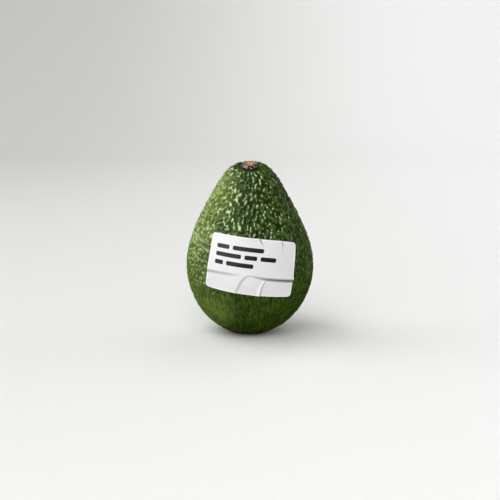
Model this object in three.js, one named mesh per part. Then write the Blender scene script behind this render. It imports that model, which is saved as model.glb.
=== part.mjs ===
// A whole avocado standing on its blossom end, with its stem button and a stuck-on paper label.
// Millimetres, +Z up. The label faces the front, which is -Y, and +X is to the right of it.
// The origin is on the surface that the fruit stands on, under the middle of the whole object.
import * as THREE from "three";

// The fruit, drawn first as a straight turned shape round +Z and then bent.
const fruit = {
  restRadius: 8, // the flat spot that it stands on
  bodyRadius: 35,
  bodyHeight: 38, // height of the widest ring
  neckRadius: 17.2, // where the neck rounds over into the crown
  neckHeight: 84,
  length: 96, // along its own core line, without the stem hollow
  depthShare: 0.97, // front to back, as a share of side to side
  bendAngle: THREE.MathUtils.degToRad(18), // how far the crown nods forwards
  bendHeading: THREE.MathUtils.degToRad(1), // the nod's direction, from the front towards +X
  hollowDepth: 2.4, // the hollow round the stem
  hollowRadius: 6.6,
  segments: 64,
};

// How far the outline runs on from each of its points before it turns, in radius and height, and the
// rings of mesh that each of its three curves gets.
const outlinePull = {
  restRim: [14.8, 3.9],
  widestBelow: 18.5,
  widestAbove: 15,
  neckBelow: [9.1, 17],
  neckAbove: [3.75, 7],
  crownTop: 9.3,
};
const rings = { bowl: 14, neck: 13, crown: 11 };

// The flesh swells in and out of round in waves, each with its own count round the fruit. The twist is
// how far a wave turns between the blossom end and the crown.
const swells = [
  { size: 0.18, count: 2, start: 0.9, twist: 0 },
  { size: 0.35, count: 3, start: 4, twist: -4 },
];
const swellFadesAt = 0.9; // share of the length from which the swelling stays as it is

// The dried stub of the stem, turned round its own axis.
const button = {
  footRadius: 3.5,
  footRound: 0.2,
  collarRadius: 4.5,
  collarHeight: 0.9,
  shoulderDrop: 0.6,
  scarRadius: 2.7,
  scarRim: 0.6, // width of the flat rim round the scar
  pitRadius: 0.7, // where the vessels have shrunk in the middle of the scar
  pitDepth: 0.6,
  height: 2.4,
  gap: 0.3, // to the floor of the stem hollow
  segments: 24,
};

// The paper label, measured flat.
const label = {
  width: 49,
  height: 33.4,
  thickness: 0.4,
  cornerRadius: 2,
  gap: 0.3, // to the skin
  turn: THREE.MathUtils.degToRad(8), // its right side hangs lower
  aroundBody: THREE.MathUtils.degToRad(2.2), // its middle, from the front towards +X
  aboveWidest: 7.5, // its middle, along the skin from the widest ring
  sideSag: 0.7, // flat paper on a narrowing neck: what the sides drop at reachOfSag
  cornerSag: 0.77, // and what the top drops more than the middle there
  reachOfSag: 20,
  columns: 28,
  rows: 16,
};

// The fruit's half outline from the rim of the flat spot to the crown, as radius and height.
function curve(...points) {
  return new THREE.CubicBezierCurve(...points.map(([radius, height]) => new THREE.Vector2(radius, height)));
}
const { restRadius, bodyRadius, bodyHeight, neckRadius, neckHeight } = fruit;
const pull = outlinePull;
const bowl = curve(
  [restRadius, 0],
  [restRadius + pull.restRim[0], pull.restRim[1]],
  [bodyRadius, bodyHeight - pull.widestBelow],
  [bodyRadius, bodyHeight],
);
const neck = curve(
  [bodyRadius, bodyHeight],
  [bodyRadius, bodyHeight + pull.widestAbove],
  [neckRadius + pull.neckBelow[0], neckHeight - pull.neckBelow[1]],
  [neckRadius, neckHeight],
);
const crown = curve(
  [neckRadius, neckHeight],
  [neckRadius - pull.neckAbove[0], neckHeight + pull.neckAbove[1]],
  [pull.crownTop, fruit.length],
  [0, fruit.length],
);
const outline = new THREE.CurvePath();
outline.add(bowl);
outline.add(neck);
outline.add(crown);

// The stem hollow is a smooth dip that fades out over the crown.
function hollow(radius, height) {
  if (height < fruit.neckHeight) return 0;
  return fruit.hollowDepth * Math.exp(-((radius / fruit.hollowRadius) ** 4));
}

// How far the flesh swells past the turned shape at an angle round it and a height along it.
function swell(angle, height) {
  const share = height / fruit.length;
  const strength = Math.sin(Math.PI * Math.min(share, swellFadesAt));
  return strength * swells.reduce((total, wave) => {
    return total + wave.size * Math.sin(wave.count * angle + wave.start + wave.twist * share);
  }, 0);
}

// Carries a point of the straight shape to its place in the bent fruit. The core line leans more and
// more towards the crown, by the square of the height, and each level ring stays square to it.
function bendPoint(point) {
  const share = point.z / fruit.length;
  const lean = fruit.bendAngle * share ** 2;
  const reach = (point.z * lean) / 3;
  const rise = point.z * (1 - lean ** 2 / 10);
  const heading = new THREE.Vector2(Math.sin(fruit.bendHeading), -Math.cos(fruit.bendHeading));
  const forward = point.x * heading.x + point.y * heading.y;
  const shift = forward * Math.cos(lean) + reach - forward;
  return new THREE.Vector3(
    point.x + shift * heading.x,
    point.y + shift * heading.y,
    rise - forward * Math.sin(lean),
  );
}

// A point on the skin, or off it by a distance, at an angle from the front and a height and radius
// taken from the outline.
function skinPoint(angle, radius, height, normal, offset) {
  const out = radius + normal.x * offset + swell(angle, height) * Math.min(1, radius / fruit.neckRadius);
  const up = height + normal.y * offset - hollow(radius, height);
  return bendPoint(new THREE.Vector3(out * Math.sin(angle), -out * Math.cos(angle) * fruit.depthShare, up));
}

function setPoints(geometry, place) {
  const positions = geometry.getAttribute("position");
  const point = new THREE.Vector3();
  for (let i = 0; i < positions.count; i++) {
    point.fromBufferAttribute(positions, i);
    positions.setXYZ(i, ...place(point).toArray());
  }
  geometry.computeVertexNormals();
  return geometry;
}

function makeFruit() {
  const profile = [
    new THREE.Vector2(0, 0),
    ...bowl.getPoints(rings.bowl),
    ...neck.getPoints(rings.neck).slice(1),
    ...crown.getPoints(rings.crown).slice(1),
  ];
  const turned = new THREE.LatheGeometry(profile, fruit.segments);
  const onSkin = new THREE.Vector2();
  // LatheGeometry turns round +Y, with its seam on +Z.
  const geometry = setPoints(turned, (p) => {
    return skinPoint(Math.atan2(p.x, p.z), Math.hypot(p.x, p.z), p.y, onSkin, 0);
  });
  const skin = new THREE.MeshStandardMaterial({ color: 0x4d6424, roughness: 0.42, metalness: 0 });
  const mesh = new THREE.Mesh(geometry, skin);
  mesh.name = "avocado_fruit";
  return mesh;
}

function makeButton() {
  const { collarRadius, scarRadius, height } = button;
  const profile = [
    [0, 0],
    [button.footRadius, 0],
    [collarRadius - button.footRound, button.collarHeight / 2],
    [collarRadius, button.collarHeight],
    [(collarRadius + scarRadius) / 2, height - button.shoulderDrop],
    [scarRadius, height],
    [scarRadius - button.scarRim, height],
    [button.pitRadius, height - button.pitDepth / 2],
    [0, height - button.pitDepth],
  ].map(([across, up]) => new THREE.Vector2(across, up));
  const geometry = new THREE.LatheGeometry(profile, button.segments);
  geometry.rotateX(Math.PI / 2);
  const wood = new THREE.MeshStandardMaterial({ color: 0x6b4a33, roughness: 0.85, metalness: 0 });
  const mesh = new THREE.Mesh(geometry, wood);
  mesh.name = "stem_button";

  // It stands square on the floor of the hollow, so it leans with the crown.
  const heading = new THREE.Vector3(Math.sin(fruit.bendHeading), -Math.cos(fruit.bendHeading), 0);
  const sideways = new THREE.Vector3(0, 0, 1).cross(heading);
  const floor = fruit.length - fruit.hollowDepth + button.gap;
  mesh.position.copy(bendPoint(new THREE.Vector3(0, 0, floor)));
  mesh.setRotationFromAxisAngle(sideways, fruit.bendAngle);
  return mesh;
}

// Draws a square sheet's corners in to quarter circles.
function roundCorner(point) {
  const reach = label.cornerRadius;
  const a = (Math.abs(point.x) - label.width / 2 + reach) / reach;
  const b = (Math.abs(point.y) - label.height / 2 + reach) / reach;
  if (a <= 0 || b <= 0) return;
  point.x -= Math.sign(point.x) * reach * a * (1 - Math.sqrt(1 - b ** 2 / 2));
  point.y -= Math.sign(point.y) * reach * b * (1 - Math.sqrt(1 - a ** 2 / 2));
}

function makeLabel() {
  const { width, height, thickness, turn, columns, rows } = label;
  const totalLength = outline.getLength();
  const middle = bowl.getLength() + label.aboveWidest;
  const sheet = new THREE.BoxGeometry(width, height, thickness, columns, rows, 1);
  const geometry = setPoints(sheet, (p) => {
    roundCorner(p);
    const across = p.x * Math.cos(turn) + p.y * Math.sin(turn);
    const up = p.y * Math.cos(turn) - p.x * Math.sin(turn);
    const sagAtReach = label.sideSag + (label.cornerSag * p.y) / (height / 2);
    const sag = sagAtReach * (across / label.reachOfSag) ** 2;
    const along = (middle + up - sag) / totalLength;
    const { x: skinRadius, y: skinHeight } = outline.getPoint(along);
    const tangent = outline.getTangent(along);
    const normal = new THREE.Vector2(tangent.y, -tangent.x);
    const offset = label.gap + thickness / 2 + p.z;
    return skinPoint(label.aroundBody + across / skinRadius, skinRadius, skinHeight, normal, offset);
  });
  const paper = new THREE.MeshStandardMaterial({ color: 0xf0f0ee, roughness: 0.6, metalness: 0 });
  const mesh = new THREE.Mesh(geometry, paper);
  mesh.name = "paper_label";
  return mesh;
}

const avocado = new THREE.Group();
avocado.name = "avocado";
avocado.add(makeFruit(), makeButton(), makeLabel());

// Puts the origin under the middle of the whole object.
const box = new THREE.Box3().setFromObject(avocado, true);
const centre = box.getCenter(new THREE.Vector3());
avocado.position.set(-centre.x, -centre.y, 0);

export default avocado;
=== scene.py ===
# A whole green avocado with its stem button and a creased paper label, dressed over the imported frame.
# Shapes are worked out in millimetres and turned into metres when a mesh is made.
import math

import bpy
import numpy as np
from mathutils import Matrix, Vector, kdtree, noise


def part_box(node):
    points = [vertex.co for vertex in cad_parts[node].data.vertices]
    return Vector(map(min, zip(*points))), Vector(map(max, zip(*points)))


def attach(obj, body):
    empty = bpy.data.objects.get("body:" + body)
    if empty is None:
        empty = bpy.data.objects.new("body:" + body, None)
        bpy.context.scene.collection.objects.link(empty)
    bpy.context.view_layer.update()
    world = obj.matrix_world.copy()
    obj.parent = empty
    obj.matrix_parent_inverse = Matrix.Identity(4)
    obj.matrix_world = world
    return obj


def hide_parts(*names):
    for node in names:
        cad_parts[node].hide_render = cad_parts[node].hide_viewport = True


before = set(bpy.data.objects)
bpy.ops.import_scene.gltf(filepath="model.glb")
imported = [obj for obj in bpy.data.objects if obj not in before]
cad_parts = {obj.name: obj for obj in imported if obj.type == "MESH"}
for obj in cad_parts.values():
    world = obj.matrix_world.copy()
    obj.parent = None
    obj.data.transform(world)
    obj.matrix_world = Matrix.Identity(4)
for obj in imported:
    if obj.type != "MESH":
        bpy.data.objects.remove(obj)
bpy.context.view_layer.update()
millimetre = 0.001
print("frame loaded:", ", ".join(sorted(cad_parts)))


# the fruit's smooth shape, drawn first as a straight turned shape and then bent
fruitShape = {
    "restRadius": 8.0,  # the flat spot it stands on
    "bodyRadius": 35.0,
    "bodyHeight": 38.0,
    "neckRadius": 17.2,
    "neckHeight": 84.0,
    "length": 96.0,
    # how far the outline runs on from each point before it turns
    "bowlPull": ((14.8, 3.9), 18.5),
    "neckPull": (15.0, (9.1, -17.0)),
    "crownPull": ((-3.75, 7.0), 9.3),
    "depthShare": 0.97,
    "bendAngle": math.radians(18),  # how far the crown nods forwards
    "bendHeading": math.radians(1),
    "hollowDepth": 2.4,  # the hollow round the stem
    "hollowRadius": 6.6,
    "swells": ((0.18, 2, 0.9, 0.0), (0.35, 3, 4.0, -4.0)),  # size, count, start, twist
    "swellFadesAt": 0.9,  # share of the length from which the swelling stays as it is
}


def bezier(a, b, c, d, steps=500):
    t = np.linspace(0, 1, steps)[:, None]
    a, b, c, d = (np.array(p, float) for p in (a, b, c, d))
    return a * (1 - t) ** 3 + 3 * b * t * (1 - t) ** 2 + 3 * c * t * t * (1 - t) + d * t**3


def traceOutline(s):
    # the half outline from the middle of the flat spot to the crown, with how far it has run at each point
    rest = np.array([s["restRadius"], 0])
    body = np.array([s["bodyRadius"], s["bodyHeight"]])
    neck = np.array([s["neckRadius"], s["neckHeight"]])
    restRim, widestBelow = s["bowlPull"]
    widestAbove, neckBelow = s["neckPull"]
    neckAbove, crownTop = s["crownPull"]
    bowl = bezier(rest, rest + restRim, body - (0, widestBelow), body)
    taper = bezier(body, body + (0, widestAbove), neck + neckBelow, neck)
    crown = bezier(neck, neck + neckAbove, (crownTop, s["length"]), (0, s["length"]))
    points = np.vstack([[(0, 0)], bowl, taper[1:], crown[1:]])
    steps = np.hypot(*np.diff(points, axis=0).T)
    run = np.concatenate([[0], np.cumsum(steps)]) - s["restRadius"]
    return {
        "run": run,
        "radius": points[:, 0],
        "height": points[:, 1],
        "widest": run[len(bowl)],
        "end": run[-1],
    }


outline = traceOutline(fruitShape)


def outlineAt(run):
    radius = np.interp(run, outline["run"], outline["radius"])
    height = np.interp(run, outline["run"], outline["height"])
    return radius, height


def swell(angle, height):
    share = height / fruitShape["length"]
    strength = np.sin(np.pi * np.minimum(share, fruitShape["swellFadesAt"]))
    waves = 0
    for size, count, start, twist in fruitShape["swells"]:
        waves += size * np.sin(count * angle + start + twist * share)
    return strength * waves


def bend(x, y, z):
    # from a place in the straight shape to its place in the bent fruit, which leans more towards the crown
    share = z / fruitShape["length"]
    lean = fruitShape["bendAngle"] * share**2
    reach, rise = z * lean / 3, z * (1 - lean**2 / 10)
    headX, headY = math.sin(fruitShape["bendHeading"]), -math.cos(fruitShape["bendHeading"])
    forward = x * headX + y * headY
    shift = forward * np.cos(lean) + reach - forward
    return np.stack([x + shift * headX, y + shift * headY, rise - forward * np.sin(lean)], axis=-1)


def onSkin(angle, run, lift=0.0):
    # a point on the smooth skin, run millimetres up from the rim of the flat spot, and lift off it
    radius, height = outlineAt(run)
    nudge = 0.05
    ahead, behind = outlineAt(run + nudge), outlineAt(run - nudge)
    across, up = ahead[0] - behind[0], ahead[1] - behind[1]
    size = np.maximum(np.hypot(across, up), 1e-9)
    hollow = fruitShape["hollowDepth"] * np.exp(-((radius / fruitShape["hollowRadius"]) ** 4))
    hollow = np.where(height < fruitShape["neckHeight"], 0, hollow)
    out = radius + lift * up / size + swell(angle, height) * np.minimum(1, radius / fruitShape["neckRadius"])
    level = height - lift * across / size - hollow
    return bend(out * np.sin(angle), -out * np.cos(angle) * fruitShape["depthShare"], level) + originShift


def findOriginShift():
    # the frame's own box says where the fruit stands
    turns, levels = 361, 400
    angle, run = np.meshgrid(np.linspace(-np.pi, np.pi, turns), np.linspace(0, outline["end"], levels))
    points = onSkin(angle.ravel(), run.ravel())
    low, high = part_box("avocado_fruit")
    middle = (np.array(low) + np.array(high)) / 2 / millimetre - (points.min(0) + points.max(0)) / 2
    return np.array([middle[0], middle[1], 0.0])


originShift = np.zeros(3)  # none while the fruit is measured
originShift = findOriginShift()
print("origin shift in mm:", originShift.round(3))


def noiseAt(points, size, seed):
    # smooth noise about -1 to 1, with lumps of that size in millimetres
    farApart = 17.31  # so that no two seeds share their lumps
    scaled = np.asarray(points) / size + seed * farApart
    return np.fromiter((noise.noise(p) for p in scaled.tolist()), float, len(scaled))


def smoothStep(low, high, value):
    t = np.clip((value - low) / (high - low), 0, 1)
    return t * t * (3 - 2 * t)


def unit(vectors):
    return vectors / np.maximum(np.linalg.norm(vectors, axis=-1), 1e-9)[:, None]


def gridQuads(index):
    # the quads between neighbours in a grid of point numbers
    corners = index[:-1, :-1], index[1:, :-1], index[1:, 1:], index[:-1, 1:]
    return np.stack(corners, -1).reshape(-1, 4)


def makeMesh(name, points, faces):
    mesh = bpy.data.meshes.new(name)
    mesh.from_pydata((points * millimetre).tolist(), [], faces)
    mesh.validate()
    mesh.update()
    mesh.shade_smooth()
    piece = bpy.data.objects.new(name, mesh)
    bpy.context.scene.collection.objects.link(piece)
    return piece


def storeValue(piece, name, values):
    attribute = piece.data.attributes.new(name, "FLOAT", "POINT")
    attribute.data.foreach_set("value", np.asarray(values, np.float32))


def storeVector(piece, name, values):
    attribute = piece.data.attributes.new(name, "FLOAT_VECTOR", "POINT")
    attribute.data.foreach_set("vector", np.asarray(values, np.float32).ravel())


class Finish:
    # a material's node tree, with short ways to add and join nodes
    def __init__(self, name):
        self.material = bpy.data.materials.new(name)
        self.material.use_nodes = True
        self.tree = self.material.node_tree
        self.shader = self.tree.nodes["Principled BSDF"]
        self.column = 0

    def add(self, kind, settings=None, **inputs):
        made = self.tree.nodes.new(kind)
        made.location = (-1600 + 40 * self.column, -120 * (self.column % 9))
        self.column += 1
        for key, value in (settings or {}).items():
            setattr(made, key, value)
        for key, value in inputs.items():
            self.put(made.inputs[key.replace("_", " ")], value)
        return made

    def put(self, socket, value):
        if isinstance(value, bpy.types.NodeSocket):
            self.tree.links.new(value, socket)
        else:
            socket.default_value = value

    def value(self, name):
        return self.add("ShaderNodeAttribute", {"attribute_name": name}).outputs["Fac"]

    def vector(self, name):
        return self.add("ShaderNodeAttribute", {"attribute_name": name}).outputs["Vector"]

    def here(self):
        return self.add("ShaderNodeTexCoord").outputs["Object"]

    def noise(self, place, scale, detail, roughness=0.5):
        made = self.add("ShaderNodeTexNoise", Vector=place, Scale=scale, Detail=detail, Roughness=roughness)
        return made.outputs["Fac"]

    def sum(self, operation, a, b=0.0, clamp=False):
        made = self.add("ShaderNodeMath", {"operation": operation, "use_clamp": clamp})
        for socket, value in zip(made.inputs, (a, b)):
            self.put(socket, value)
        return made.outputs[0]

    def spread(self, value, low, high, toLow=0.0, toHigh=1.0):
        made = self.add("ShaderNodeMapRange", {"interpolation_type": "SMOOTHSTEP"}, Value=value)
        for key, number in (("From Min", low), ("From Max", high), ("To Min", toLow), ("To Max", toHigh)):
            made.inputs[key].default_value = number
        return made.outputs["Result"]

    def vary(self, value, low=0.0, high=1.0):
        # a noise mostly keeps between 0.3 and 0.7, and this carries that to low and high
        return self.spread(value, 0.3, 0.7, low, high)

    def dots(self, place, plan):
        # a dot in the middle of some cells, picked by one channel of the cells' random colours
        cells = self.add("ShaderNodeTexVoronoi", Vector=place, Scale=plan["scale"])
        dot = self.spread(cells.outputs["Distance"], *plan["radius"])
        channels = self.add("ShaderNodeSeparateColor", Color=cells.outputs["Color"]).outputs
        picked = self.spread(channels[plan["channel"]], *plan["pickedFrom"], 0.0, plan["strength"])
        return self.sum("MULTIPLY", dot, picked)

    def ramp(self, value, stops):
        made = self.add("ShaderNodeValToRGB", Fac=value)
        band = made.color_ramp
        while len(band.elements) < len(stops):
            band.elements.new(0.5)
        for element, (place, colour) in zip(band.elements, stops):
            element.position = place
            element.color = (*colour, 1)
        return made.outputs["Color"]

    def blend(self, share, a, b, kind="MIX"):
        made = self.add("ShaderNodeMix", {"data_type": "RGBA", "blend_type": kind})
        for socket, value in ((made.inputs[0], share), (made.inputs[6], a), (made.inputs[7], b)):
            self.put(socket, (*value, 1) if isinstance(value, tuple) else value)
        return made.outputs[2]

    def bump(self, height, distance, strength, under=None):
        made = self.add("ShaderNodeBump", Height=height, Distance=distance, Strength=strength)
        if under is not None:
            self.put(made.inputs["Normal"], under)
        return made.outputs["Normal"]

    def finish(self, colour, roughness, normal=None, **fixed):
        self.put(self.shader.inputs["Base Color"], colour)
        self.put(self.shader.inputs["Roughness"], roughness)
        if normal is not None:
            self.put(self.shader.inputs["Normal"], normal)
        for key, setting in fixed.items():
            self.put(self.shader.inputs[key.replace("_", " ")], setting)
        return self.material


cameraPlace = {
    "aim": (0.02, 0.0, 46.19),  # in millimetres, like the distance
    "distance": 653.7,
    "elevation": math.radians(10),
    "lens": 85,
    "sensorWidth": 36,
    "clip": (0.01, 20),  # in metres
}


def placeCamera(c):
    data = bpy.data.cameras.new("camera")
    data.lens = c["lens"]
    data.sensor_width = c["sensorWidth"]
    data.clip_start, data.clip_end = c["clip"]
    camera = bpy.data.objects.new("camera", data)
    back = Vector((0, -math.cos(c["elevation"]), math.sin(c["elevation"])))
    camera.location = (Vector(c["aim"]) + back * c["distance"]) * millimetre
    camera.rotation_mode = "QUATERNION"
    camera.rotation_quaternion = (-back).to_track_quat("-Z", "Y")
    bpy.context.scene.collection.objects.link(camera)
    bpy.context.scene.camera = camera


placeCamera(cameraPlace)
print("camera placed")


skinShape = {
    "gridSteps": 180,  # quads along one side of a patch, of six
    "seed": 5,
    # how the pebbles change from the blossom end (0) to the crown (1)
    "share": (0.0, 0.18, 0.4, 0.55, 0.7, 0.88, 1.0),
    "width": (1.4, 1.25, 1.75, 2.3, 2.5, 2.3, 1.9),
    "length": (5.5, 5.5, 3.2, 2.8, 2.8, 2.6, 2.2),
    "height": (0.12, 0.68, 0.80, 1.05, 1.35, 1.15, 0.45),
    "contrast": (0.30, 0.58, 0.80, 0.95, 1.05, 1.05, 0.8),  # in tone, between tops and gaps, which paints shade into the gaps
    # rows of pebbles, from the rim of the flat spot to near the middle of the crown
    "firstRow": 1.5,
    "lastRow": 4.0,
    "rowSpacing": 0.80,  # share of a pebble's length from row to row
    "fewestInRow": 6,
    "scatter": 0.30,
    "endClearance": (0.5, 3.5),  # shaken spots keep this far from the two ends
    "missing": 0.03,  # share of the spots without a mound
    "widthSpread": (0.85, 1.2),
    "lengthSpread": (0.8, 1.25),
    "topSpread": (0.65, 1.15),
    # every spot gets a mound, and the mounds are added up
    "steepness": 8.0,
    "reach": 1.5,  # lengths from its spot past which a mound is left out
    "wander": (0.50, 0.75),  # how far pebble edges wander, across and along
    "wanderSize": (1.9, 2.6),
    "joined": 0.10,  # how much the gaps between pebbles close and open
    "joinedSize": 4.0,
    "gapLevel": 0.12,  # heights of the added mounds that make the gaps and the tops
    "topLevel": 1.0,
    # on the side away from this heading the pebbles are slimmer and longer
    "roundSide": math.radians(-35),
    "slimmer": 0.36,
    "longer": 0.15,
    "flankTurn": math.radians(20),  # how far the two flanks are turned from left and right
    "flankHeight": 0.76,  # of the pebbles on the flanks, against those in front and behind
    "flankFade": 0.10,  # how much less the tops and gaps differ in tone on the flanks
    "flushAndLitFade": 0.38,  # and on the flushed side, which is partly painted light
    "meanLevel": 0.50,  # the relief that lies level with the smooth skin
    "unevenHeight": (0.35, 9.0),  # by how much, and the size of the patches
    "wrinkles": (0.12, 1.3),  # depth as a share of the pebbles' height, and size
    "fineWrinkles": (0.4, 0.7),  # depth as a share of the wrinkles', and size
    "wrinkleTone": 0.22,  # how far the wrinkles lighten and darken the skin, painting shade into their hollows
    "broadLumps": (0.10, 7.0),
    "smallerLumps": (0.5, 3.4),  # height as a share of the broad ones', and size
    "lumpsFullAt": 1 / 3,  # share of the way up
    "calmRadius": (4.4, 7.0),  # no relief within the first, at either end, and all of it past the second
    "mostLiftUnderLabel": 0.2,  # so that the skin keeps clear of the paper
    "labelMargin": 0.53,  # and this far round it
    "blossomDimple": 0.5,
    "blossomRadius": 1.5,
    "blossomUneven": 0.5,
    # the flush, a paler cheek that is partly painted light on the side the lamps face, is on the side that
    # faces this way, and its edge wanders
    "flushAndLitHeading": (-0.96, -0.26, -0.02),
    "flushAndLitEdge": (0.28, 1.05),
    "flushAndLitWander": ((0.24, 13.0, 7), (0.12, 4.5, 13)),  # by how much, size and seed
    "flushAndLitShare": (0.15, 0.42, 0.60),  # near the blossom end, round the belly and on the neck
    "flushAndLitStrength": (0.85, 0.38, 1.0),
    "grainSqueeze": 0.42,  # how much slower the grain changes up the fruit than round it
    "grainLeastRadius": 2.0,
}


def slimness(s, angle):
    # 0 on the round side, 1 across from it
    return 0.5 - 0.5 * np.cos(angle - s["roundSide"])


def cubeSphere(steps):
    # six square patches sewn into a ball, with even spacing by angle
    a, b = np.meshgrid(np.arange(steps + 1), np.arange(steps + 1), indexing="ij")
    corners, quads, count = [], [], 0
    for axis in range(3):
        for side in (0, steps):
            patch = np.empty((steps + 1, steps + 1, 3), int)
            patch[..., axis] = side
            patch[..., (axis + 1) % 3] = a
            patch[..., (axis + 2) % 3] = b
            quad = gridQuads(np.arange((steps + 1) ** 2).reshape(steps + 1, steps + 1) + count)
            corners.append(patch.reshape(-1, 3))
            quads.append(quad if side else quad[:, ::-1])
            count += a.size
    corners, back = np.unique(np.vstack(corners), axis=0, return_inverse=True)
    directions = np.tan((2 * corners / steps - 1) * np.pi / 4)
    return unit(directions), back.ravel()[np.vstack(quads)]


def skinFrames(angle, run):
    # the unit vectors across, along and out of the smooth skin
    nudge, leastRadius = 0.02, 0.5
    turn = nudge / np.maximum(outlineAt(run)[0], leastRadius)
    across = unit(onSkin(angle + turn, run) - onSkin(angle - turn, run))
    along = unit(onSkin(angle, run + nudge) - onSkin(angle, run - nudge))
    return across, along, unit(np.cross(across, along))


def scatterPebbles(s, rng):
    # rows of spots round the fruit, closer together where they are slim, and shaken about
    steps = 120
    turn = np.linspace(-np.pi, np.pi, steps + 1)
    crowd = 1 / (1 - s["slimmer"] * slimness(s, turn))
    placeOf = np.concatenate([[0], np.cumsum(crowd[1:] + crowd[:-1])])
    placeOf /= placeOf[-1]
    angles, runs, run = [], [], s["firstRow"]
    while run < outline["end"] - s["lastRow"]:
        share = run / outline["end"]
        width, length = (np.interp(share, s["share"], s[key]) for key in ("width", "length"))
        girth = 2 * math.pi * float(outlineAt(run)[0])
        count = max(s["fewestInRow"], round(girth * crowd.mean() / width))
        shake = rng.uniform(-s["scatter"], s["scatter"], (2, count))
        place = (np.arange(count) + rng.uniform() + shake[0]) / count % 1
        angle = np.interp(place, placeOf, turn)
        kept = rng.uniform(size=count) < 1 / (1 + s["longer"] * slimness(s, angle))
        angles.append(angle[kept])
        runs.append((run + shake[1] * length)[kept])
        run += length * s["rowSpacing"]
    fromRim, fromCrown = s["endClearance"]
    return np.concatenate(angles), np.clip(np.concatenate(runs), fromRim, outline["end"] - fromCrown)


def searchTree(points):
    tree = kdtree.KDTree(len(points))
    for i, p in enumerate(points.tolist()):
        tree.insert(p, i)
    tree.balance()
    return tree


def growRelief(s, points, across, along):
    # 0 in the gaps between pebbles to about 1 on their tops
    rng = np.random.default_rng(s["seed"])
    angles, runs = scatterPebbles(s, rng)
    spots = onSkin(angles, runs)
    sideways, upwards, _ = skinFrames(angles, runs)
    share, slim = runs / outline["end"], slimness(s, angles)
    widths = np.interp(share, s["share"], s["width"]) * (1 - s["slimmer"] * slim)
    lengths = np.interp(share, s["share"], s["length"]) * (1 + s["longer"] * slim)
    widths *= rng.uniform(*s["widthSpread"], len(runs))
    lengths *= rng.uniform(*s["lengthSpread"], len(runs))
    tops = rng.uniform(*s["topSpread"], len(runs)) * (rng.uniform(size=len(runs)) > s["missing"])

    (farAcross, farAlong), (sizeAcross, sizeAlong) = s["wander"], s["wanderSize"]
    wandering = points + across * (noiseAt(points, sizeAcross, 1) * farAcross)[:, None]
    wandering += along * (noiseAt(points, sizeAlong, 2) * farAlong)[:, None]
    tree = searchTree(wandering)
    mound = np.zeros(len(points))
    for i in range(len(spots)):
        near = [hit[1] for hit in tree.find_range(spots[i], s["reach"] * lengths[i])]
        if not near:
            continue
        gap = wandering[near] - spots[i]
        far = np.hypot(gap @ sideways[i] / widths[i], gap @ upwards[i] / lengths[i])
        mound[near] += tops[i] * np.exp(-s["steepness"] * far**2)
    mound += s["joined"] * noiseAt(points, s["joinedSize"], 11)
    relief = smoothStep(s["gapLevel"], s["topLevel"], mound)
    print("pebbles:", len(spots), "mean relief", relief.mean().round(2))
    return relief


def underLabel(s, angle, run, margin):
    # true where the paper covers the skin, and a margin round it
    around = np.mod(angle - s["aroundBody"] + np.pi, 2 * np.pi) - np.pi
    across = around * outlineAt(run)[0]
    sag = s["sideSag"] * (across / s["reachOfSag"]) ** 2
    up = run - outline["widest"] - s["aboveWidest"] + sag
    x = across * math.cos(s["turn"]) - up * math.sin(s["turn"])
    y = up * math.cos(s["turn"]) + across * math.sin(s["turn"])
    over = np.maximum(np.abs(x) - s["width"] / 2, np.abs(y) - s["height"] / 2)
    return over < margin


def flushAndLitAt(s, points, out, share):
    # about 1 where the skin is palest, partly from a real flush and partly as painted light on the lit side,
    # and 0 on the side away from there
    cheekAndLit = out @ np.array(s["flushAndLitHeading"])
    for much, size, seed in s["flushAndLitWander"]:
        cheekAndLit += much * noiseAt(points, size, seed)
    return np.interp(share, s["flushAndLitShare"], s["flushAndLitStrength"]) * smoothStep(*s["flushAndLitEdge"], cheekAndLit)


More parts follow.
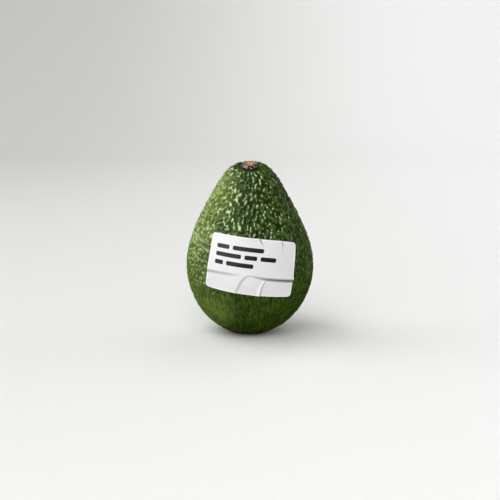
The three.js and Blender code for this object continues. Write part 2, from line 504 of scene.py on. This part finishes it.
def makeSkin(s):
    directions, quads = cubeSphere(s["gridSteps"])
    angle = np.arctan2(directions[:, 0], -directions[:, 1])
    polar = np.arccos(np.clip(-directions[:, 2], -1, 1)) / np.pi
    run = polar * (outline["end"] + fruitShape["restRadius"]) - fruitShape["restRadius"]
    radius = outlineAt(run)[0]
    points = onSkin(angle, run)
    across, along, out = skinFrames(angle, run)
    share = np.clip(run / outline["end"], 0, 1)

    relief = growRelief(s, points, across, along)
    (wrinkleDepth, wrinkleSize), (fineDepth, fineSize) = s["wrinkles"], s["fineWrinkles"]
    wrinkles, fine = noiseAt(points, wrinkleSize, 12), noiseAt(points, fineSize, 3)
    (lumpHeight, lumpSize), (smallHeight, smallSize) = s["broadLumps"], s["smallerLumps"]
    lumps = noiseAt(points, lumpSize, 4) + smallHeight * noiseAt(points, smallSize, 5)
    flank = 0.5 - 0.5 * np.cos(2 * (angle + s["flankTurn"]))
    uneven, unevenSize = s["unevenHeight"]
    height = np.interp(share, s["share"], s["height"]) * (1 - (1 - s["flankHeight"]) * flank)
    height *= 1 + uneven * noiseAt(points, unevenSize, 6)
    lift = height * (relief - s["meanLevel"] + wrinkleDepth * (wrinkles + fineDepth * fine))
    lift += lumpHeight * lumps * np.clip(share / s["lumpsFullAt"], 0, 1)
    lift *= smoothStep(*s["calmRadius"], radius)
    covered = underLabel(labelShape, angle, run, s["labelMargin"])
    lift = np.where(covered, np.minimum(lift, s["mostLiftUnderLabel"]), lift)
    blossom = np.where(run < 0, np.exp(-((radius / s["blossomRadius"]) ** 2)), 0)
    lift -= s["blossomDimple"] * blossom * (1 + s["blossomUneven"] * fine)
    points = points + out * lift[:, None]
    points[:, 2] = np.maximum(points[:, 2], 0)

    flushAndLit = flushAndLitAt(s, points, out, share)
    # the tops and gaps differ less in tone where the skin is smoother, or flushed and painted lighter
    contrast = np.interp(share, s["share"], s["contrast"])
    contrast *= (1 - s["flankFade"] * flank) * (1 - s["flushAndLitFade"] * flushAndLit)
    # painted shade: the tone darkens the gaps between pebbles and the wrinkle hollows, and lightens the tops
    tone = 0.5 + contrast * (relief + s["wrinkleTone"] * wrinkles - 0.5)
    skin = makeMesh("avocado_skin", points, quads.tolist())
    storeValue(skin, "flushAndLit", flushAndLit)
    storeValue(skin, "relief", np.clip(relief, 0, 1))
    storeValue(skin, "tone", np.clip(tone, 0, 1))
    storeValue(skin, "share", share)
    storeValue(skin, "blossom", blossom)
    # a squeezed copy of the place, so that grain runs up and down the fruit
    wide = np.maximum(radius, s["grainLeastRadius"])
    grain = np.stack([wide * np.sin(angle), wide * np.cos(angle), run * s["grainSqueeze"]], -1)
    storeVector(skin, "grain", grain)
    print("skin:", len(points), "points, lift", lift.min().round(2), "to", lift.max().round(2), "mm")
    return skin


skinLook = {
    # colours from the gaps between the pebbles to their tops, each after its tone; the dark gaps are painted
    # shade, and the flushed colours are partly painted light on the lit side
    "green": (
        (0.0, (0.008, 0.024, 0.002)),
        (0.30, (0.031, 0.066, 0.004)),
        (1.0, (0.049, 0.092, 0.008)),
    ),
    "flushedAndLit": (
        (0.0, (0.018, 0.040, 0.005)),
        (0.34, (0.176, 0.252, 0.050)),
        (0.95, (0.252, 0.338, 0.084)),
    ),
    # noises are scale, detail and roughness; the scale is in lumps a metre, or in lumps a millimetre for the
    # fine, rough and lump noises, which follow the grain
    "fineNoise": (1.1, 4, 0.6),
    "fineTone": 0.10,
    "patchNoise": (95, 3, 0.55),
    "patchFlushAndLit": 0.14,
    "yellowNoise": (42, 2),
    "yellowFrom": (0.45, 0.75),
    "mostYellow": 0.5,
    "yellowTint": (1.22, 1.0, 0.6),
    "paintedUndersideShade": (0.76, 0.78, 0.60),
    "undersideShadeFrom": (0.36, 0.10),  # shares of the way up where this painted shade starts, and where it is full
    "paleColour": (0.30, 0.27, 0.12),
    "paleDots": {
        "scale": 310,
        "radius": (0.16, 0.09),
        "channel": 0,
        "pickedFrom": (0.80, 0.84),
        "strength": 0.5,
    },
    "brownColour": (0.075, 0.048, 0.018),
    "brownDots": {
        "scale": 190,
        "radius": (0.17, 0.07),
        "channel": 1,
        "pickedFrom": (0.86, 0.9),
        "strength": 0.65,
    },
    "blossomCork": (0.10, 0.062, 0.030),
    "blossomEdge": (0.25, 0.6),
    # the wax is a coat, thickest on the tops, and changes over the three ranges given
    "waxRoughness": 0.28,
    "waxInGaps": 0.05,
    "waxOnTops": 1.0,
    "waxRelief": (0.2, 0.65),
    "waxOnFlushAndLit": 0.48,  # share of it that is left on the flushed side, which is partly painted light
    "waxFlushAndLit": (0.2, 0.9),
    "waxOnBelly": 0.32,  # and below the belly
    "waxShare": (0.68, 0.38),
    "roughNoise": (0.7, 3),
    "roughness": (0.24, 0.36),
    "rougherInGaps": 0.30,
    "roughRelief": (0.1, 0.7),
    "lumpNoise": (2.3, 3, 0.55),
    "lumpBump": (0.00018, 0.5),  # height in metres, and strength
    "poreNoise": (2600, 2, 0.5),
    "poreBump": (0.00004, 0.3),
}


def makeSkinFinish(look):
    f = Finish("avocado_skin")
    place, grain = f.here(), f.vector("grain")
    relief, tone, flushAndLit, share = (f.value(name) for name in ("relief", "tone", "flushAndLit", "share"))
    fine = f.noise(grain, *look["fineNoise"])
    level = f.sum("ADD", tone, f.vary(fine, -look["fineTone"], look["fineTone"]))
    patches = f.noise(place, *look["patchNoise"])
    cheekAndLit = f.sum("ADD", flushAndLit, f.vary(patches, -look["patchFlushAndLit"], look["patchFlushAndLit"]), clamp=True)
    # painted light: the flushed colours make the side facing the lamps paler, besides the real flush
    colour = f.blend(cheekAndLit, f.ramp(level, look["green"]), f.ramp(level, look["flushedAndLit"]))
    yellow = f.spread(f.noise(place, *look["yellowNoise"]), *look["yellowFrom"], 0.0, look["mostYellow"])
    colour = f.blend(yellow, colour, look["yellowTint"], "MULTIPLY")
    # painted shade: the skin is darkened towards the blossom end underneath
    colour = f.blend(f.spread(share, *look["undersideShadeFrom"]), colour, look["paintedUndersideShade"], "MULTIPLY")
    colour = f.blend(f.dots(place, look["paleDots"]), colour, look["paleColour"])
    colour = f.blend(f.dots(place, look["brownDots"]), colour, look["brownColour"])
    colour = f.blend(f.spread(f.value("blossom"), *look["blossomEdge"]), colour, look["blossomCork"])

    wax = f.spread(relief, *look["waxRelief"], look["waxInGaps"], look["waxOnTops"])
    wax = f.sum("MULTIPLY", wax, f.spread(flushAndLit, *look["waxFlushAndLit"], 1.0, look["waxOnFlushAndLit"]))
    wax = f.sum("MULTIPLY", wax, f.spread(share, *look["waxShare"], 1.0, look["waxOnBelly"]))
    rough = f.vary(f.noise(grain, *look["roughNoise"]), *look["roughness"])
    rough = f.sum("ADD", rough, f.spread(relief, *look["roughRelief"], look["rougherInGaps"], 0.0))
    lumps = f.bump(f.noise(grain, *look["lumpNoise"]), *look["lumpBump"])
    pores = f.bump(f.noise(place, *look["poreNoise"]), *look["poreBump"], lumps)
    return f.finish(
        colour,
        rough,
        pores,
        Specular_Tint=(0.9, 1.0, 0.8, 1),
        Specular_IOR_Level=0.08,
        IOR=1.5,
        Coat_Weight=wax,
        Coat_Roughness=look["waxRoughness"],
    )


labelShape = {
    "width": 49.0,
    "height": 33.4,
    "cornerRadius": 2.0,
    "thickness": 0.16,
    "clearOfSkin": 0.3,
    "sharpFrom": math.radians(50),
    "turn": math.radians(8),  # its right side hangs lower
    "aroundBody": math.radians(2.2),  # its middle, from the front to the right
    "aboveWidest": 7.5,  # its middle, along the skin from the widest ring
    "sideSag": 0.7,  # what the sides drop at reachOfSag
    "cornerSag": 0.77,  # and what the top drops more than the middle there
    "reachOfSag": 20.0,
    "columns": 196,
    "rows": 134,
    "edgeCurl": 0.28,  # how far the edges lift off, and over about what width
    "curlWidth": 1.2,
    "mostDip": 0.05,  # below the flat sheet's level
    "waves": ((0.06, 6.0, 8), (0.03, 2.6, 9)),  # height, size and seed
    "creaseSlack": 0.3,  # past a crease's end, before it starts to fade
    "narrowest": 0.4,  # of a crease where it is shallow, against where it is deepest
    "greyAcross": (0.8, 0.1),  # widths from the drop's middle where the painted crease shade starts to be grey, and is greyest
    "whiteFullAt": 0.3,  # where the painted highlight is full, up the rise from the crease
    "whiteFadesFrom": 0.3,  # where the painted highlight starts to fade, as a share of the rise's width
}

# Creases on the flat label, from its middle in millimetres. Facing along a crease, the paper rises to it
# on the left over about the width called before, and drops away on the right within the one called past.
# Grey is painted shade along each drop, and white a painted highlight up the rise.
labelCreases = {
    "foldLeft": {
        "through": ((-25.0, -5.9), (-16.0, -5.4), (-9.0, -5.2), (-4.5, -5.3)),
        "drop": (0.34, 0.30, 0.20, 0.0),
        "before": 3.0,
        "past": 2.0,
        "grey": 0.50,
    },
    "foldRight": {
        "through": (
            (-7.0, -17.2),
            (-6.1, -12.9),
            (-5.0, -9.3),
            (-3.0, -6.2),
            (-0.2, -4.7),
            (3.5, -5.2),
            (9.0, -5.5),
            (16.0, -5.6),
            (25.0, -5.5),
        ),
        "drop": (0.20, 0.34, 0.34, 0.32, 0.26, 0.40, 0.70, 0.80, 0.84),
        "before": 1.8,
        "past": 2.1,
        "grey": 1.0,
    },
    "tuck": {
        "through": ((6.1, -17.2), (6.2, -13.5), (6.9, -10.2), (8.1, -7.2), (9.6, -4.9)),
        "drop": (0.62, 0.60, 0.50, 0.34, 0.0),
        "before": 2.2,
        "past": 0.8,
        "grey": 0.70,
        "white": 1.0,
    },
    "nickMiddle": {
        "through": ((4.8, 11.4), (3.3, 13.6), (2.2, 15.2), (1.2, 17.2)),
        "drop": (0.0, 0.28, 0.46, 0.50),
        "before": 2.0,
        "past": 0.8,
        "grey": 0.85,
    },
    "nickRight": {
        "through": ((16.4, 9.0), (15.2, 12.6), (14.6, 14.6), (14.1, 17.2)),
        "drop": (0.0, 0.28, 0.48, 0.54),
        "before": 2.6,
        "past": 1.0,
        "grey": 0.65,
    },
}


def curveThrough(points, steps=24):
    # a smooth curve through chosen points
    p = np.array(points, float)
    p = np.vstack([2 * p[0] - p[1], p, 2 * p[-1] - p[-2]])
    t = np.linspace(0, 1, steps, endpoint=False)[:, None]
    pieces = []
    for a, b, c, d in zip(p[:-3], p[1:-2], p[2:-1], p[3:]):
        square, cube = 2 * a - 5 * b + 4 * c - d, 3 * b - a - 3 * c + d
        pieces.append(0.5 * (2 * b + (c - a) * t + square * t**2 + cube * t**3))
    return np.vstack([*pieces, p[-2:-1]])


def creaseLift(s, x, y):
    # how far the creases lift the flat sheet, and how much painted shade (grey) and painted highlight
    # (white) they leave on it
    lift, grey, white = np.zeros((3, len(x)))
    for crease in labelCreases.values():
        path = curveThrough(np.column_stack([crease["through"], crease["drop"]]))
        heading = np.gradient(path[:, :2], axis=0)
        heading /= np.linalg.norm(heading, axis=1)[:, None]
        gap = np.stack([x, y], -1)[:, None, :] - path[None, :, :2]
        nearest = np.argmin((gap**2).sum(-1), axis=1)
        gap, heading = gap[np.arange(len(x)), nearest], heading[nearest]
        side = heading[:, 0] * gap[:, 1] - heading[:, 1] * gap[:, 0]
        # how far past either end, leaving out the small gaps between the path's own points
        beyond = np.maximum(np.abs((heading * gap).sum(-1)) - s["creaseSlack"], 0)
        drop = np.maximum(path[nearest, 2], 0) * np.exp(-beyond)
        strength = drop / path[:, 2].max()
        before = crease["before"]
        past = crease["past"] * (s["narrowest"] + (1 - s["narrowest"]) * strength)
        rise, fall = np.exp(-np.abs(side) / before), smoothStep(-1, 0, side / past)
        lift += drop * np.where(side > 0, rise, fall)
        fromMiddle = np.abs(side / past + 0.5)
        grey = np.maximum(grey, crease["grey"] * strength * smoothStep(*s["greyAcross"], fromMiddle))
        onRise = smoothStep(0, s["whiteFullAt"], side)
        onRise *= smoothStep(before, s["whiteFadesFrom"] * before, side)
        white = np.maximum(white, crease.get("white", 0) * strength * onRise)
    return lift, grey, white


def roundedSheet(s):
    # places on the flat sheet, drawn in to quarter circles at its corners, and how far each is from the edge
    steps = np.linspace(-1, 1, s["columns"] + 1), np.linspace(-1, 1, s["rows"] + 1)
    flatX, flatY = np.meshgrid(*steps, indexing="ij")
    halfWidth, halfHeight, reach = s["width"] / 2, s["height"] / 2, s["cornerRadius"]
    x, y = flatX.ravel() * halfWidth, flatY.ravel() * halfHeight
    a, b = (np.abs(x) - halfWidth) / reach + 1, (np.abs(y) - halfHeight) / reach + 1
    inCorner = (a > 0) & (b > 0)
    drawX = reach * a * (1 - np.sqrt(np.maximum(1 - b**2 / 2, 0)))
    drawY = reach * b * (1 - np.sqrt(np.maximum(1 - a**2 / 2, 0)))
    x = x - np.where(inCorner, np.sign(x) * drawX, 0)
    y = y - np.where(inCorner, np.sign(y) * drawY, 0)
    a, b = (np.abs(x) - halfWidth) / reach + 1, (np.abs(y) - halfHeight) / reach + 1
    straight = np.minimum(halfWidth - np.abs(x), halfHeight - np.abs(y))
    toEdge = np.where((a > 0) & (b > 0), reach * (1 - np.hypot(a, b)), straight)
    return x, y, np.maximum(toEdge, 0)


def makeLabel(s):
    columns, rows, turn = s["columns"], s["rows"], s["turn"]
    x, y, toEdge = roundedSheet(s)
    across = x * math.cos(turn) + y * math.sin(turn)
    up = y * math.cos(turn) - x * math.sin(turn)
    sagAtReach = s["sideSag"] + s["cornerSag"] * y / (s["height"] / 2)
    run = outline["widest"] + s["aboveWidest"] + up - sagAtReach * (across / s["reachOfSag"]) ** 2
    angle = s["aroundBody"] + across / outlineAt(run)[0]
    flat = np.stack([x, y, np.zeros(len(x))], -1)
    lift, grey, white = creaseLift(s, x, y)
    for high, size, seed in s["waves"]:
        lift += high * noiseAt(flat, size, seed)
    lift += s["edgeCurl"] * np.exp(-toEdge / s["curlWidth"])
    lift = s["clearOfSkin"] + np.maximum(lift, -s["mostDip"])
    inner, outer = onSkin(angle, run, lift), onSkin(angle, run, lift + s["thickness"])

    index = np.arange(len(x)).reshape(columns + 1, rows + 1)
    quads = gridQuads(index)
    rim = np.concatenate([index[:-1, 0], index[-1, :-1], index[:0:-1, -1], index[0, :0:-1]])
    ahead = np.roll(rim, -1)
    edge = np.stack([rim + len(x), ahead + len(x), ahead, rim], -1)[:, ::-1]
    faces = np.vstack([quads[:, ::-1], quads + len(x), edge])
    label = makeMesh("label_sheet", np.vstack([inner, outer]), faces.tolist())
    label.data.set_sharp_from_angle(angle=s["sharpFrom"])
    storeVector(label, "flatPlace", np.tile(flat, (2, 1)))
    storeValue(label, "toEdge", np.tile(toEdge, 2))
    storeValue(label, "crease", np.tile(grey, 2))
    storeValue(label, "paintedCreaseHighlight", np.tile(white, 2))
    storeValue(label, "face", np.repeat([0.0, 1.0], len(x)))
    print("label:", 2 * len(x), "points, lift up to", lift.max().round(2), "mm")
    return label


labelLook = {
    "paper": (0.805, 0.805, 0.805),
    "shadedPaper": (0.75, 0.75, 0.755),
    "paintedHighlightWhite": (0.93, 0.93, 0.93),
    "paintedCreaseShade": (0.16, 0.16, 0.165),
    "ink": (0.012, 0.012, 0.013),
    "wornInk": (0.05, 0.05, 0.05),
    # noises are scale, detail and roughness, with the scale in lumps a metre
    "fibreNoise": (700, 4, 0.6),
    "fibresFrom": (0.4, 0.75),
    "mostFibres": 0.35,
    "shadeNoise": (60, 2),
    "wornNoise": (2400, 2),
    "wornFrom": (0.55, 0.8),
    "mostWorn": 0.25,
    "edgeWidth": (0.75, 0.35),  # where the painted bright edge starts and is full, in millimetres
    "roughness": (0.52, 0.64),
    "toothNoise": (1500, 3, 0.6),
    "toothBump": (0.00003, 0.5),  # height in metres, and strength
    "barHeight": 2.6,
    "barRound": 0.8,
    "barSoft": 0.05,  # half the width of the ink's soft edge
    # plain printed bars: left end, right end and level of each
    "bars": (
        (-20.5, -13.2, 9.7),
        (-11.4, 5.0, 9.7),
        (-20.5, -6.4, 4.9),
        (-4.6, 2.0, 4.9),
        (3.8, 12.4, 4.9),
        (-20.5, -15.6, 0.1),
        (-13.8, 0.6, 0.1),
    ),
}


def printedBars(f, flat, look):
    # how far a place on the paper is from the core of the nearest bar
    parts = f.add("ShaderNodeSeparateXYZ", Vector=flat)
    x, y = parts.outputs["X"], parts.outputs["Y"]
    nearest = None
    for left, right, level in look["bars"]:
        aside = f.sum("ABSOLUTE", f.sum("SUBTRACT", x, (left + right) / 2))
        above = f.sum("ABSOLUTE", f.sum("SUBTRACT", y, level))
        dx = f.sum("MAXIMUM", f.sum("SUBTRACT", aside, (right - left) / 2 - look["barRound"]), 0.0)
        dy = f.sum("MAXIMUM", f.sum("SUBTRACT", above, look["barHeight"] / 2 - look["barRound"]), 0.0)
        far = f.sum("SQRT", f.sum("ADD", f.sum("MULTIPLY", dx, dx), f.sum("MULTIPLY", dy, dy)))
        nearest = far if nearest is None else f.sum("MINIMUM", nearest, far)
    return nearest


def makeLabelFinish(look):
    f = Finish("label_paper")
    flat, place = f.vector("flatPlace"), f.here()
    nearest = printedBars(f, flat, look)
    ink = f.spread(nearest, look["barRound"] + look["barSoft"], look["barRound"] - look["barSoft"])
    ink = f.sum("MULTIPLY", ink, f.spread(f.value("face"), 0.4, 0.9))  # only on the outer face
    fibres = f.noise(place, *look["fibreNoise"])
    paper = f.blend(f.vary(f.noise(place, *look["shadeNoise"])), look["paper"], look["shadedPaper"])
    fibred = f.spread(fibres, *look["fibresFrom"], 0.0, look["mostFibres"])
    paper = f.blend(fibred, paper, look["shadedPaper"])
    # painted highlight along the label's edges
    paper = f.blend(f.spread(f.value("toEdge"), *look["edgeWidth"]), paper, look["paintedHighlightWhite"])
    # painted highlight up the rise of a crease
    paper = f.blend(f.value("paintedCreaseHighlight"), paper, look["paintedHighlightWhite"])
    # painted shade along the creases' drops
    paper = f.blend(f.value("crease"), paper, look["paintedCreaseShade"])
    worn = f.spread(f.noise(place, *look["wornNoise"]), *look["wornFrom"], 0.0, look["mostWorn"])
    colour = f.blend(ink, paper, f.blend(worn, look["ink"], look["wornInk"]))
    normal = f.bump(f.noise(place, *look["toothNoise"]), *look["toothBump"])
    return f.finish(colour, f.vary(fibres, *look["roughness"]), normal, IOR=1.45, Specular_IOR_Level=0.12)


buttonShape = {
    "steps": 120,
    "seed": 3,
    # half outline from the middle of the foot to the middle of the scar
    "outline": (
        (0, 0),
        (2.6, 0.0),
        (3.9, 0.15),
        (4.45, 0.7),
        (4.25, 1.4),
        (3.5, 1.9),
        (2.8, 2.3),
        (2.1, 2.45),
        (1.1, 2.3),
        (0, 2.15),
    ),
    "outlineSteps": 9,
    "nodules": 0.55,  # the height of the nodules round the collar
    "noduleSize": 1.15,
    "smallNodules": (0.5, 0.6),  # height as a share of the others', and size
    "noduleTone": (0.75, 0.45),  # how their height is told to the finish: times this, plus this
    "flakes": 0.12,
    "flakeSize": 0.35,
    "scarLumps": 0.35,
    "ragged": (0.7, 1.6),  # how far the scar's edge is out of round, and the size of its notches
    # where the collar and the scar start, and where they are full
    "collarRadius": (2.2, 3.2),
    "collarHeight": (0.0, 0.5),
    "scarRadius": (2.9, 2.3),
    "scarHeight": (0.8, 1.4),
    "clearOfFloor": 0.3,
}


def standOnCrown(points, clear):
    # from places round an upright axis to the floor of the stem hollow, leaning with the crown
    lean, heading = fruitShape["bendAngle"], fruitShape["bendHeading"]
    floor = fruitShape["length"] - fruitShape["hollowDepth"] + clear
    foot = bend(np.zeros(1), np.zeros(1), np.array([floor]))[0] + originShift
    forward = np.array([math.sin(heading), -math.cos(heading), 0])
    sideways = np.array([math.cos(heading), math.sin(heading), 0])
    upright = np.array([0, 0, 1.0])
    axis = upright * math.cos(lean) + forward * math.sin(lean)
    front = forward * math.cos(lean) - upright * math.sin(lean)
    return foot + points[:, :1] * sideways - points[:, 1:2] * front + points[:, 2:] * axis


def makeButton(s):
    profile = curveThrough(s["outline"], s["outlineSteps"])
    ring, steps = profile[1:-1], s["steps"]
    radius = np.append(np.repeat(ring[:, 0], steps), [0, 0])
    height = np.append(np.repeat(ring[:, 1], steps), [profile[0, 1], profile[-1, 1]])
    around = np.append(np.tile(np.arange(steps) * 2 * math.pi / steps, len(ring)), [0, 0])
    points = np.stack([radius * np.sin(around), -radius * np.cos(around), height], -1)

    (smallShare, smallSize), (outOfRound, notchSize) = s["smallNodules"], s["ragged"]
    knobs = noiseAt(points, s["noduleSize"], s["seed"])
    knobs += smallShare * noiseAt(points, smallSize, s["seed"] + 1)
    flakes = noiseAt(points, s["flakeSize"], s["seed"] + 2)
    ragged = radius + outOfRound * noiseAt(points, notchSize, s["seed"] + 3)
    collar = smoothStep(*s["collarRadius"], ragged) * smoothStep(*s["collarHeight"], height)
    scar = smoothStep(*s["scarRadius"], ragged) * smoothStep(*s["scarHeight"], height)
    points = points + unit(points) * (collar * (s["nodules"] * knobs + s["flakes"] * flakes))[:, None]
    points[:, 2] += scar * (s["scarLumps"] * knobs + s["flakes"] * flakes)
    points[:, 2] = np.maximum(points[:, 2], 0)

    index = np.arange(len(ring) * steps).reshape(len(ring), steps)
    ahead = np.roll(index, -1, axis=1)
    faces = np.stack([index[:-1], ahead[:-1], ahead[1:], index[1:]], -1).reshape(-1, 4).tolist()
    foot, top = len(ring) * steps, len(ring) * steps + 1
    faces += [(foot, ahead[0, i], index[0, i]) for i in range(steps)]
    faces += [(top, index[-1, i], ahead[-1, i]) for i in range(steps)]
    piece = makeMesh("stem_stub", standOnCrown(points, s["clearOfFloor"]), faces)
    storeValue(piece, "scar", scar)
    times, plus = s["noduleTone"]
    storeValue(piece, "knobs", np.clip(knobs * times + plus, 0, 1))
    print("stem button:", len(points), "points")
    return piece


buttonLook = {
    # colours from the lowest places to the highest, each after its tone; the near black of the lowest places
    # is painted shade between the nodules
    "bark": (
        (0.30, (0.006, 0.003, 0.003)),
        (0.50, (0.060, 0.034, 0.026)),
        (0.80, (0.40, 0.27, 0.19)),
    ),
    "scar": (
        (0.15, (0.16, 0.07, 0.020)),
        (0.45, (0.42, 0.235, 0.085)),
        (0.85, (0.62, 0.40, 0.17)),
    ),
    "poreColour": (0.09, 0.038, 0.012),
    "pores": {"scale": 900, "radius": (0.34, 0.14), "channel": 0, "pickedFrom": (0.5, 0.6), "strength": 1.0},
    # noises are scale, detail and roughness, with the scale in lumps a metre
    "grainNoise": (1500, 4, 0.65),
    "grainTone": 0.2,
    "roughness": (0.72, 0.92),
    "barkNoise": (1900, 4, 0.6),
    "barkBump": (0.00012, 0.8),  # height in metres, and strength
}


def makeButtonFinish(look):
    f = Finish("stem_wood")
    place = f.here()
    grain = f.noise(place, *look["grainNoise"])
    level = f.sum("ADD", f.value("knobs"), f.vary(grain, -look["grainTone"], look["grainTone"]))
    wood = f.blend(f.dots(place, look["pores"]), f.ramp(level, look["scar"]), look["poreColour"])
    colour = f.blend(f.value("scar"), f.ramp(level, look["bark"]), wood)
    normal = f.bump(f.noise(place, *look["barkNoise"]), *look["barkBump"])
    return f.finish(colour, f.vary(grain, *look["roughness"]), normal, Specular_IOR_Level=0.3)


# the stage and the lamps are laid out in metres
stageLook = {
    "floorRadius": 1.0,
    "wallRadius": 1.9,
    "wallHeight": 2.0,
    "innerRings": (0.02, 0.25, 0.6),  # shares of the floor's radius
    "bendSteps": 32,
    "steps": 128,
    # painted shade: the tone goes gently from darker on the left to paler on the right
    "toneReach": 0.32,
    "toneLeft": (0.715, 0.72, 0.69),
    "toneRight": (0.97, 0.97, 0.97),
    "roughness": 0.75,
}


def makeStage(s):
    # a round studio cove: flat floor, soft curve, wall
    sweep = s["wallRadius"] - s["floorRadius"]
    profile = [(s["floorRadius"] * share, 0) for share in s["innerRings"]]
    for turn in np.linspace(0, math.pi / 2, s["bendSteps"]):
        profile.append((s["floorRadius"] + sweep * math.sin(turn), sweep * (1 - math.cos(turn))))
    profile.append((s["wallRadius"], s["wallHeight"]))
    steps = s["steps"]
    angles = np.arange(steps) * 2 * math.pi / steps
    points = [(0, 0, 0)] + [(r * math.sin(a), r * math.cos(a), z) for r, z in profile for a in angles]
    faces = [(0, 1 + (i + 1) % steps, 1 + i) for i in range(steps)]
    for ring in range(len(profile) - 1):
        base = 1 + ring * steps
        for i in range(steps):
            j = (i + 1) % steps
            faces.append((base + i, base + j, base + steps + j, base + steps + i))
    floor = makeMesh("studio_floor", np.array(points) / millimetre, faces)
    floor.visible_glossy = False  # so that the pale room doesn't wash out the skin
    f = Finish("studio_floor")
    sideways = f.add("ShaderNodeSeparateXYZ", Vector=f.here()).outputs["X"]
    # painted shade, darker towards the left side of the cove
    tone = f.blend(f.spread(sideways, -s["toneReach"], s["toneReach"]), s["toneLeft"], s["toneRight"])
    floor.data.materials.append(f.finish(tone, s["roughness"], Specular_IOR_Level=0.15))


lightPlan = {
    # "from" is the azimuth round the fruit from the front, the elevation and the distance; a lamp faces the
    # fruit unless it says what it is turned towards. One that isn't in gloss makes no highlights, and one
    # that doesn't light makes nothing but highlights.
    "key": {"from": (-12, 40, 1.0), "size": (0.80, 0.80), "power": 5.6, "inGloss": False},
    "sheen": {"from": (-60, 37, 0.95), "size": (1.5, 0.8), "power": 47.0, "lights": False},
    "side": {"from": (-100, 16, 0.9), "size": (0.5, 0.9), "power": 2.0},
    "rim": {"from": (112, 12, 1.2), "size": (0.8, 0.9), "power": 3.1},
    "overhead": {"from": (-75, 62, 1.9), "size": (1.1, 1.1), "power": 8.0, "inGloss": False},
    "behind": {"from": (-128, 50, 1.5), "size": (0.9, 0.9), "power": 4.4, "inGloss": False},
    "backdrop": {
        "from": (162, 46, 1.6),
        "towards": (0.32, 1.15, 0.0),
        "size": (0.8, 0.8),
        "power": 5.4,
        "inGloss": False,
    },
}
worldLook = {"colour": (0.96, 0.97, 1.0), "strength": 0.012}


def placeLights(plan, middle):
    for name, lampPlan in plan.items():
        data = bpy.data.lights.new(name, "AREA")
        data.shape = "RECTANGLE"
        data.size, data.size_y = lampPlan["size"]
        data.energy = lampPlan["power"]
        lamp = bpy.data.objects.new(name, data)
        azimuth, elevation, distance = lampPlan["from"]
        a, e = math.radians(azimuth), math.radians(elevation)
        away = Vector((math.sin(a) * math.cos(e), -math.cos(a) * math.cos(e), math.sin(e)))
        lamp.location = middle + away * distance
        if "towards" in lampPlan:
            away = lamp.location - Vector(lampPlan["towards"])
        lamp.rotation_mode = "QUATERNION"
        lamp.rotation_quaternion = away.to_track_quat("Z", "Y")
        lamp.visible_camera = False
        lamp.visible_glossy = lampPlan.get("inGloss", True)
        lamp.visible_diffuse = lampPlan.get("lights", True)
        bpy.context.scene.collection.objects.link(lamp)


def lightWorld(look):
    world = bpy.data.worlds.new("studio")
    world.use_nodes = True
    background = world.node_tree.nodes["Background"]
    background.inputs["Color"].default_value = (*look["colour"], 1)
    background.inputs["Strength"].default_value = look["strength"]
    bpy.context.scene.world = world


skin = makeSkin(skinShape)
skin.data.materials.append(makeSkinFinish(skinLook))
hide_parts("avocado_fruit")

button = makeButton(buttonShape)
button.data.materials.append(makeButtonFinish(buttonLook))
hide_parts("stem_button")

label = makeLabel(labelShape)
label.data.materials.append(makeLabelFinish(labelLook))
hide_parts("paper_label")

for piece in (skin, button, label):
    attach(piece, "root")
print("pieces ride on the frame")

makeStage(stageLook)
low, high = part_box("avocado_fruit")
placeLights(lightPlan, (Vector(low) + Vector(high)) / 2)
lightWorld(worldLook)
bpy.context.scene.view_settings.view_transform = "Standard"
print("stage and lights placed")
